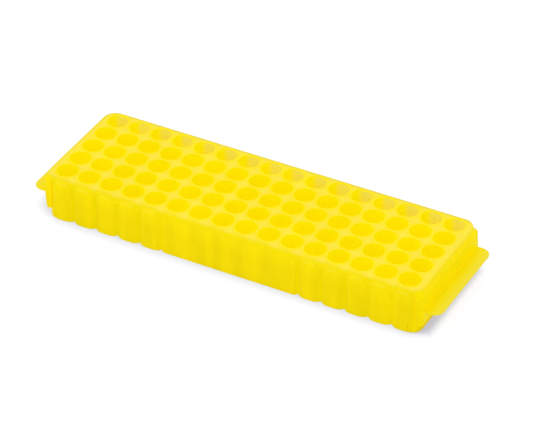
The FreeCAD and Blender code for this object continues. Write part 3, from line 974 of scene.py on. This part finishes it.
def cup_colour(tree, axes):
    """Wells lightened inside by painted light, with a painted darker band at the mouth, a pale rim, and a
    painted veil of light in the back row.
    """
    across, along = well_offsets(tree, axes)
    # Painted light: a pale veil on one side of each back-row well.
    slanted = maths(tree, "ADD", across, maths(tree, "MULTIPLY", along, VEIL_SLANT))
    side = ramp_mm(tree, slanted, *VEIL_AROUND)
    below_mouth = height_ramp(tree, axes, *VEIL_HEIGHTS, *VEIL_LEVELS)
    back = maths(tree, "MULTIPLY", back_row(tree, axes, 1.0), inside_share(tree, axes))
    veil = maths(tree, "MULTIPLY", maths(tree, "MULTIPLY", side, back), below_mouth)
    # Painted shade at the mouth of each well.
    mouth = height_ramp(tree, axes, *MOUTH_HEIGHTS)
    inside = blend_colour(tree, veil, blend_colour(tree, mouth, WELL_PAINTED_LIGHT, WELL_MOUTH_SHADE), WELL_PAINTED_VEIL)
    lip = ramp_mm(tree, well_distance(tree, axes), *LIP_AROUND)
    rim = maths(tree, "MULTIPLY", lip, height_ramp(tree, axes, *LIP_HEIGHTS))
    return blend_colour(tree, rim, inside, DECK_NEAR)


def groove_share(tree, axes):
    """0 on the faces of the long sides and past their ends, 1 at the bottom of the grooves."""
    deep = ramp_mm(tree, distance(tree, axes[1]), *GROOVE_ACROSS, *FALLING)
    long_side = ramp_mm(tree, distance(tree, axes[0]), *LONG_SIDE_ALONG, *FALLING)
    return maths(tree, "MULTIPLY", deep, long_side)


def crest_highlight_share(tree, axes):
    """Painted highlight, highest on the rounded top edges of the lobes, where they stand out from the
    skirt.
    """
    proud = ramp_mm(tree, distance(tree, axes[1]), *CREST_HIGHLIGHT_ACROSS)
    high = height_ramp(tree, axes, *CREST_HIGHLIGHT_HEIGHTS)
    return maths(tree, "MULTIPLY", maths(tree, "MULTIPLY", proud, high), CREST_HIGHLIGHT_STRENGTH)


def streaks(tree, axes):
    """Faint upright bands that the cups and the flow of the plastic leave in the walls."""
    drawn_out = maths(tree, "MULTIPLY", axes[2], STREAK_HEIGHT_SHARE)
    place = node(tree, "ShaderNodeCombineXYZ", {0: axes[0], 1: axes[1], 2: drawn_out})
    bands = noise(tree, place.outputs[0], STREAK_SCALE, FINE_DETAIL)
    return grey(tree, ramp(tree, bands, *STREAK_RANGE, *STREAK_LEVELS))


def wall_colour(tree, axes):
    """A little deeper towards the ground and paler at the deck's edge."""
    high = height_ramp(tree, axes, *WALL_HEIGHTS, smooth=False)
    colour = blend_colour(tree, high, WALL_LOW, WALL_HIGH)
    colour = blend_colour(tree, 1.0, colour, streaks(tree, axes), "MULTIPLY")
    colour = blend_colour(tree, groove_share(tree, axes), colour, GROOVE)
    colour = blend_colour(tree, crest_highlight_share(tree, axes), colour, CREST_HIGHLIGHT)
    return blend_colour(tree, height_ramp(tree, axes, *WALL_EDGE_HEIGHTS), colour, WALL_EDGE)


def panel_colour(tree, axes):
    """Wall colour with faint upright bands of painted shade where the cups stand close behind, and a
    little painted light between them.
    """
    from_well = maths(tree, "ABSOLUTE", well_offsets(tree, axes)[0])
    shade_band = ramp_mm(tree, from_well, *SHADE_BAND_AROUND, *PANEL_SHADE_BAND_LEVELS)
    return blend_colour(tree, 1.0, wall_colour(tree, axes), grey(tree, shade_band), "MULTIPLY")


def flange_colour(tree, axes):
    """Flange colour that fades paler towards the flange's free edge, as painted light through the thin
    lip.
    """
    outer = ramp_mm(tree, distance(tree, axes[0]), *FLANGE_TIP_ALONG)
    return blend_colour(tree, outer, FLANGE_ROOT, FLANGE_TIP_PAINTED_LIGHT)


def end_share(tree, axes):
    """0 on the parts of the end walls that face the long sides, 1 on their end faces."""
    return ramp_mm(tree, distance(tree, axes[0]), *END_FACE_ALONG)


def end_colour(tree, axes):
    """The long sides' colour, going over to a brighter one on the end face."""
    return blend_colour(tree, end_share(tree, axes), wall_colour(tree, axes), END_FACE)


def deck_glow(tree, axes):
    """The same little painted glow everywhere on the deck."""
    return DECK_GLOW


def cup_glow(tree, axes):
    """Painted glow inside the wells that lifts their shade, strongest low down and in the back row."""
    light = height_ramp(tree, axes, *CUP_HEIGHTS, *CUP_GLOW_LEVELS, smooth=False)
    light = maths(tree, "ADD", light, back_row(tree, axes, BACK_ROW_GLOW))
    return maths(tree, "MULTIPLY", light, inside_share(tree, axes))


def wall_glow(tree, axes):
    """Painted glow that stands in for light coming through the walls and lifts the shade in the grooves;
    most in the grooves, where they are nearest the cups.
    """
    along = distance(tree, axes[0])
    last = ramp_mm(tree, along, *LAST_GROOVE_ALONG, 0.0, LAST_GROOVE_GLOW)
    last = maths(tree, "MULTIPLY", last, height_ramp(tree, axes, *ABOVE_RIM_HEIGHTS))
    beside_panel = maths(tree, "ABSOLUTE", maths(tree, "SUBTRACT", along, PANEL_HALF / METRE))
    first = ramp_mm(tree, beside_panel, *BESIDE_PANEL, PANEL_GROOVE_GLOW, 0.0)
    amount = maths(tree, "ADD", maths(tree, "ADD", last, first), GROOVE_GLOW)
    groove = maths(tree, "MULTIPLY", groove_share(tree, axes), amount)
    return maths(tree, "ADD", groove, WALL_GLOW)


def end_glow(tree, axes):
    """Painted glow, more where the flange joins the wall than under the flange; it lifts the shade in that
    corner and in the groove at the wall's edge.
    """
    above = height_ramp(tree, axes, *OVER_FLANGE_HEIGHTS, *OVER_FLANGE_GLOW_LEVELS)
    root = height_ramp(tree, axes, *END_ROOT_HEIGHTS, END_ROOT_GLOW, 0.0)
    above = maths(tree, "ADD", above, root)
    over_flange = height_ramp(tree, axes, *UNDER_FLANGE_HEIGHTS)
    beside = ramp_mm(tree, distance(tree, axes[1]), *BESIDE_FLANGE_ACROSS, *BESIDE_FLANGE_LEVELS)
    facing = maths(tree, "MULTIPLY", maths(tree, "MULTIPLY", over_flange, beside), end_share(tree, axes))
    groove = ramp_mm(tree, distance(tree, axes[0]), *END_GROOVE_ALONG, *END_GROOVE_GLOW_LEVELS)
    return maths(tree, "ADD", maths(tree, "MULTIPLY", above, facing), groove)


def skirt_glow(tree, axes):
    """A little more painted glow at the ends."""
    at_end = maths(tree, "MULTIPLY", end_share(tree, axes), SKIRT_END_GLOW)
    return maths(tree, "ADD", at_end, SKIRT_GLOW)


def flange_glow(tree, axes):
    """A little painted glow at the root, where the flange joins the wall, lifting the shade in that
    corner.
    """
    return ramp_mm(tree, distance(tree, axes[0]), *FLANGE_ROOT_ALONG, *FLANGE_GLOW_LEVELS)


deck_plastic = plastic("deck_plastic", deck_colour, deck_glow, DECK_GLOSS)
cup_plastic = plastic("cup_plastic", cup_colour, cup_glow, CUP_GLOSS)
wall_plastic = plastic("wall_plastic", wall_colour, wall_glow, WALL_GLOSS)
panel_plastic = plastic("panel_plastic", panel_colour, wall_glow, WALL_GLOSS)
skirt_plastic = plastic("skirt_plastic", wall_colour, skirt_glow, WALL_GLOSS)
end_plastic = plastic("end_plastic", end_colour, end_glow, WALL_GLOSS)
flange_plastic = plastic("flange_plastic", flange_colour, flange_glow, FLANGE_GLOSS)


# ------------------------------------------------------------------------- pieces

make_piece("deck_top", deck_shell(), deck_plastic, "deck_plate")
make_piece("deck_side", skirt_shell(), skirt_plastic, "deck_skirt")
for letter in ROW_LETTERS:
    make_piece(f"wells_{letter}", cup_row_shell(letter), cup_plastic, f"cup_row_{letter}")
make_piece("webs_lengthwise", web_shell(True), cup_plastic, "lengthwise_webs")
make_piece("webs_crosswise", web_shell(False), cup_plastic, "crosswise_webs")
HANDS = (("left", -1), ("right", 1))
for side, side_y in (("front", 1), ("back", -1)):
    make_piece(f"{side}_panel", flat_panel_shell(side_y), panel_plastic, f"{side}_flat_panel")
    for hand, side_x in HANDS:
        flutes = fluted_wall_shell(side_x, side_y)
        make_piece(f"{side}_{hand}_flutes", flutes, wall_plastic, f"{side}_{hand}_fluted_wall")
for hand, side_x in HANDS:
    make_piece(f"{hand}_end", end_wall_shell(side_x), end_plastic, f"{hand}_end_wall")
    make_piece(f"{hand}_foot", base_rim_shell(side_x), wall_plastic, f"{hand}_base_rim")
    make_piece(f"{hand}_flange", grip_flange_shell(side_x), flange_plastic, f"{hand}_grip_flange")


# ------------------------------------------------------------- floor, light, camera

FLOOR_HALF = 6.0
FLOOR_SQUARES = 8
FLOOR_PAPER = (0.17, 0.18, 0.26, 1.0)
SHADE_LEFT = (0.70, 0.71, 0.74)
SHADE_RIGHT = (0.50, 0.50, 0.60)
WHITE = (1.0, 1.0, 1.0)
SHADE_REACH = 0.018
SHADE_SAMPLES = 24
SHADE_RANGE = (0.36, 0.80)
SHADE_RIGHT_ALONG = (end_high.x - 17.5, end_high.x - 0.5)
PAST_END_ALONG = (end_high.x - 1.0, end_high.x + 6.0)
PAPER_SCALE = 3.0
PAPER_GLOW_LEVELS = (0.84, 0.86)
WORLD_STRENGTH = 0.88
KEY_PLACE = (-0.05, -0.15, 1.4)
KEY_SIZE = 0.6
KEY_WATTS = 3.0
CAMERA_PLACE = (0.6255, -1.1527, 0.9593)
CAMERA_AIM = (0.0140, -0.0176, TOP / METRE)
CAMERA_LENS = 207.0
CAMERA_SENSOR = 36.0
CAMERA_NEAR = 0.05
CAMERA_FAR = 50.0


def make_floor():
    """Wide pale floor with a soft, tight shade round the rack's foot."""
    mesh = bpy.data.meshes.new("floor")
    work = bmesh.new()
    bmesh.ops.create_grid(work, x_segments=FLOOR_SQUARES, y_segments=FLOOR_SQUARES, size=FLOOR_HALF)
    work.to_mesh(mesh)
    work.free()
    floor = bpy.data.objects.new("floor", mesh)
    bpy.context.scene.collection.objects.link(floor)
    material = bpy.data.materials.new("floor_paper")
    material.use_nodes = True
    tree = material.node_tree
    tree.nodes.clear()
    place = node(tree, "ShaderNodeTexCoord").outputs["Object"]
    along = node(tree, "ShaderNodeSeparateXYZ", {0: place}).outputs[0]
    shade = blend_colour(tree, ramp_mm(tree, along, *SHADE_RIGHT_ALONG), SHADE_LEFT, SHADE_RIGHT)
    near = node(tree, "ShaderNodeAmbientOcclusion", {"Distance": SHADE_REACH},
                samples=SHADE_SAMPLES, only_local=False)
    past_end = ramp_mm(tree, along, *PAST_END_ALONG)
    open_share = maths(tree, "MAXIMUM", ramp(tree, near.outputs["AO"], *SHADE_RANGE), past_end)
    tint = blend_colour(tree, open_share, shade, WHITE)
    mottle = ramp(tree, noise(tree, place, PAPER_SCALE, COARSE_DETAIL), *NOISE_RANGE, *PAPER_GLOW_LEVELS)
    glow = node(tree, "ShaderNodeEmission", {"Color": tint, "Strength": mottle})
    paper = node(tree, "ShaderNodeBsdfDiffuse", {"Color": FLOOR_PAPER})
    both = node(tree, "ShaderNodeAddShader", {0: glow.outputs[0], 1: paper.outputs[0]})
    output = node(tree, "ShaderNodeOutputMaterial")
    tree.links.new(both.outputs[0], output.inputs["Surface"])
    mesh.materials.append(material)


def make_light(name, position, target, size, watts):
    """Round area light that faces a point."""
    lamp = bpy.data.lights.new(name, "AREA")
    lamp.shape = "DISK"
    lamp.size = size
    lamp.energy = watts
    item = bpy.data.objects.new(name, lamp)
    item.location = position
    item.rotation_mode = "QUATERNION"
    item.rotation_quaternion = (Vector(target) - Vector(position)).to_track_quat("-Z", "Y")
    bpy.context.scene.collection.objects.link(item)


def make_world(strength):
    """Even white light from all round."""
    world = bpy.data.worlds.new("studio")
    bpy.context.scene.world = world
    world.use_nodes = True
    back = world.node_tree.nodes["Background"]
    back.inputs["Color"].default_value = (*WHITE, 1.0)
    back.inputs["Strength"].default_value = strength


def make_camera():
    """Long lens from the front right, above."""
    camera = bpy.data.cameras.new("camera")
    camera.sensor_width = CAMERA_SENSOR
    camera.lens = CAMERA_LENS
    camera.clip_start = CAMERA_NEAR
    camera.clip_end = CAMERA_FAR
    item = bpy.data.objects.new("camera", camera)
    item.location = CAMERA_PLACE
    item.rotation_mode = "QUATERNION"
    item.rotation_quaternion = (Vector(CAMERA_AIM) - item.location).to_track_quat("-Z", "Y")
    bpy.context.scene.collection.objects.link(item)
    bpy.context.scene.camera = item


make_floor()
make_world(WORLD_STRENGTH)
make_light("key", KEY_PLACE, (0.0, 0.0, 0.0), KEY_SIZE, KEY_WATTS)
make_camera()
bpy.context.scene.view_settings.view_transform = "Standard"
